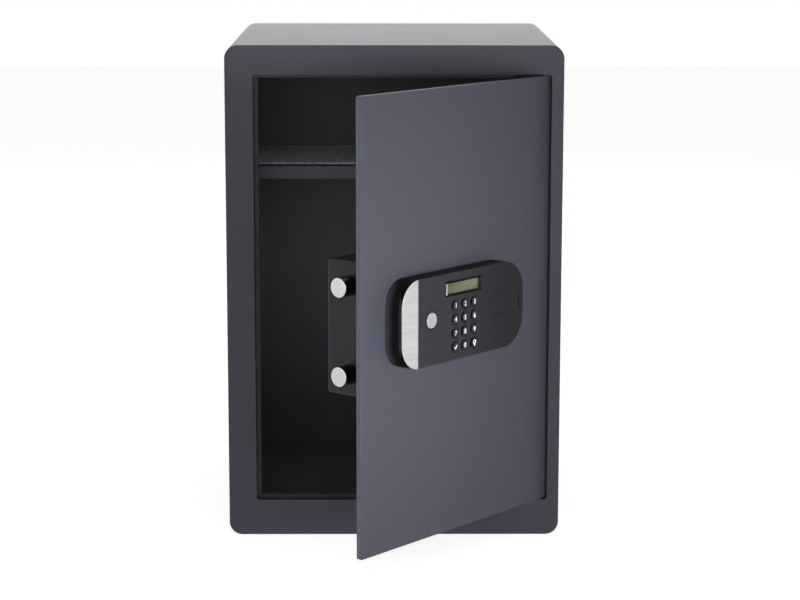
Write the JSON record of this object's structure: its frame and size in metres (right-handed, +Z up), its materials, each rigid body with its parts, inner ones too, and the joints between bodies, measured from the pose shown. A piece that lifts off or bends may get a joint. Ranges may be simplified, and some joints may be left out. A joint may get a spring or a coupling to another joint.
{
  "type": "office safe",
  "caption": "Upright steel office safe, hinged door with round bolts, motor lock, keypad with display, hidden keyhole, half-depth shelf and mats.",
  "frame": {"origin": "centre of the cabinet's base, on the surface the safe stands on", "axes": "+Z up, +Y towards the back panel, +X towards the hinge side; the door faces -Y and is shown open 50 degrees"},
  "size_m": [0.35, 0.5863, 0.52],
  "materials": {
    "body_paint": "fine powder coat, satin charcoal",
    "door_paint": "fine powder coat, satin charcoal",
    "case_paint": "satin dark grey paint",
    "plated_steel": "zinc plated",
    "dark_steel": "blackened, oiled",
    "bolt_chrome": "polished, turned ends",
    "brass": "turned",
    "cast_zinc": "die-cast, matt",
    "strip_metal": "fine satin silver",
    "fascia_plastic": "fine matt grain",
    "housing_plastic": "fine matt grain, near black",
    "key_plastic": "fine matt grain with white legends",
    "black_plastic": "moulded",
    "white_plastic": "moulded acetal",
    "red_plastic": "moulded",
    "lens_clear": "clear, polished",
    "lcd_panel": "grey-green liquid crystal panel",
    "board_green": "solder-mask green",
    "cell_sleeve": "plain printed sleeve, no lettering",
    "key_rubber": "moulded silicone",
    "mat_felt": "needled felt, speckled dark grey"
  },
  "bodies": {
    "cabinet": {"body_shell": "body_paint", "back_panel": "body_paint", "front_frame": "body_paint", "door_stop": "body_paint", "strike_plate": "body_paint", "hinge_brackets": "body_paint", "hinge_pins": "dark_steel", "hinge_washer": "black_plastic", "shelf": "body_paint", "shelf_brackets": "body_paint", "shelf_mat": "mat_felt", "floor_mat": "mat_felt"},
    "door": {"door_plate": "door_paint", "hinge_blocks": "door_paint", "lock_case": "case_paint", "case_studs": "plated_steel", "case_screws": "plated_steel", "bolt_bushes": "black_plastic", "gearbox": "cast_zinc", "motor": "plated_steel", "motor_cradle": "black_plastic", "battery_holder": "black_plastic", "batteries": "cell_sleeve", "control_board": "board_green", "keypad_lead": "black_plastic", "keypad_housing": "housing_plastic", "housing_screws": "plated_steel", "keypad_fascia": "fascia_plastic", "end_strip": "strip_metal", "badge_disc": "strip_metal", "display_lens": "lens_clear", "display_module": "lcd_panel", "key_mat": "key_rubber", "keypad_board": "board_green", "lock_cylinder": "plated_steel", "cylinder_nut": "plated_steel"},
    "bolt_carriage": {"bolt_upper": "bolt_chrome", "bolt_lower": "bolt_chrome", "bolt_carrier": "plated_steel", "bolt_nuts": "plated_steel", "drive_bar": "plated_steel"},
    "pinion": {"drive_pinion": "white_plastic"},
    "battery_hatch": {"battery_cover": "black_plastic"},
    "reset": {"reset_button": "red_plastic"},
    "keyhole_cover": {"emergency_cover": "fascia_plastic"},
    "plug": {"lock_plug": "brass", "lock_cam": "plated_steel"},
    "key_1_body": {"key_1": "key_plastic"},
    "key_2_body": {"key_2": "key_plastic"},
    "key_3_body": {"key_3": "key_plastic"},
    "key_4_body": {"key_4": "key_plastic"},
    "key_5_body": {"key_5": "key_plastic"},
    "key_6_body": {"key_6": "key_plastic"},
    "key_7_body": {"key_7": "key_plastic"},
    "key_8_body": {"key_8": "key_plastic"},
    "key_9_body": {"key_9": "key_plastic"},
    "key_enter_body": {"key_enter": "key_plastic"},
    "key_0_body": {"key_0": "key_plastic"},
    "key_program_body": {"key_program": "key_plastic"}
  },
  "joints": [
    {"name": "door_hinge", "type": "hinge", "parent": "cabinet", "child": "door", "pos_m": [0.15399, -0.175, 0.264], "axis": [0, 0, 1], "range_deg": [-50, 50]},
    {"name": "bolt_slide", "type": "slide", "parent": "door", "child": "bolt_carriage", "axis": [-0.6428, -0.766, 0], "range_m": [0, 0.02]},
    {"name": "pinion_spin", "type": "hinge", "parent": "door", "child": "pinion", "pos_m": [0.01982, -0.32323, 0.2648], "axis": [0.766, -0.6428, 0], "range_deg": [-2, 162]},
    {"name": "plug_turn", "type": "hinge", "parent": "door", "child": "plug", "pos_m": [0.08827, -0.24555, 0.2662], "axis": [-0.766, 0.6428, 0], "range_deg": [0, 180]},
    {"name": "keyhole_cover_pull", "type": "slide", "parent": "door", "child": "keyhole_cover", "axis": [0.766, -0.6428, 0], "range_m": [0, 0.014]},
    {"name": "battery_cover_pull", "type": "slide", "parent": "door", "child": "battery_hatch", "axis": [-0.766, 0.6428, 0], "range_m": [0, 0.03]},
    {"name": "reset_press", "type": "slide", "parent": "door", "child": "reset", "axis": [0.766, -0.6428, 0], "range_m": [0, 0.0012], "stiffness_N_per_m": 600},
    {"name": "key_1_press", "type": "slide", "parent": "door", "child": "key_1_body", "axis": [-0.766, 0.6428, 0], "range_m": [0, 0.0009], "stiffness_N_per_m": 600},
    {"name": "key_2_press", "type": "slide", "parent": "door", "child": "key_2_body", "axis": [-0.766, 0.6428, 0], "range_m": [0, 0.0009], "stiffness_N_per_m": 600},
    {"name": "key_3_press", "type": "slide", "parent": "door", "child": "key_3_body", "axis": [-0.766, 0.6428, 0], "range_m": [0, 0.0009], "stiffness_N_per_m": 600},
    {"name": "key_4_press", "type": "slide", "parent": "door", "child": "key_4_body", "axis": [-0.766, 0.6428, 0], "range_m": [0, 0.0009], "stiffness_N_per_m": 600},
    {"name": "key_5_press", "type": "slide", "parent": "door", "child": "key_5_body", "axis": [-0.766, 0.6428, 0], "range_m": [0, 0.0009], "stiffness_N_per_m": 600},
    {"name": "key_6_press", "type": "slide", "parent": "door", "child": "key_6_body", "axis": [-0.766, 0.6428, 0], "range_m": [0, 0.0009], "stiffness_N_per_m": 600},
    {"name": "key_7_press", "type": "slide", "parent": "door", "child": "key_7_body", "axis": [-0.766, 0.6428, 0], "range_m": [0, 0.0009], "stiffness_N_per_m": 600},
    {"name": "key_8_press", "type": "slide", "parent": "door", "child": "key_8_body", "axis": [-0.766, 0.6428, 0], "range_m": [0, 0.0009], "stiffness_N_per_m": 600},
    {"name": "key_9_press", "type": "slide", "parent": "door", "child": "key_9_body", "axis": [-0.766, 0.6428, 0], "range_m": [0, 0.0009], "stiffness_N_per_m": 600},
    {"name": "key_enter_press", "type": "slide", "parent": "door", "child": "key_enter_body", "axis": [-0.766, 0.6428, 0], "range_m": [0, 0.0009], "stiffness_N_per_m": 600},
    {"name": "key_0_press", "type": "slide", "parent": "door", "child": "key_0_body", "axis": [-0.766, 0.6428, 0], "range_m": [0, 0.0009], "stiffness_N_per_m": 600},
    {"name": "key_program_press", "type": "slide", "parent": "door", "child": "key_program_body", "axis": [-0.766, 0.6428, 0], "range_m": [0, 0.0009], "stiffness_N_per_m": 600}
  ],
  "couplings": [
    {"joint": "pinion_spin", "follows": "bolt_slide", "rad_per_m": 138.89}
  ]
}
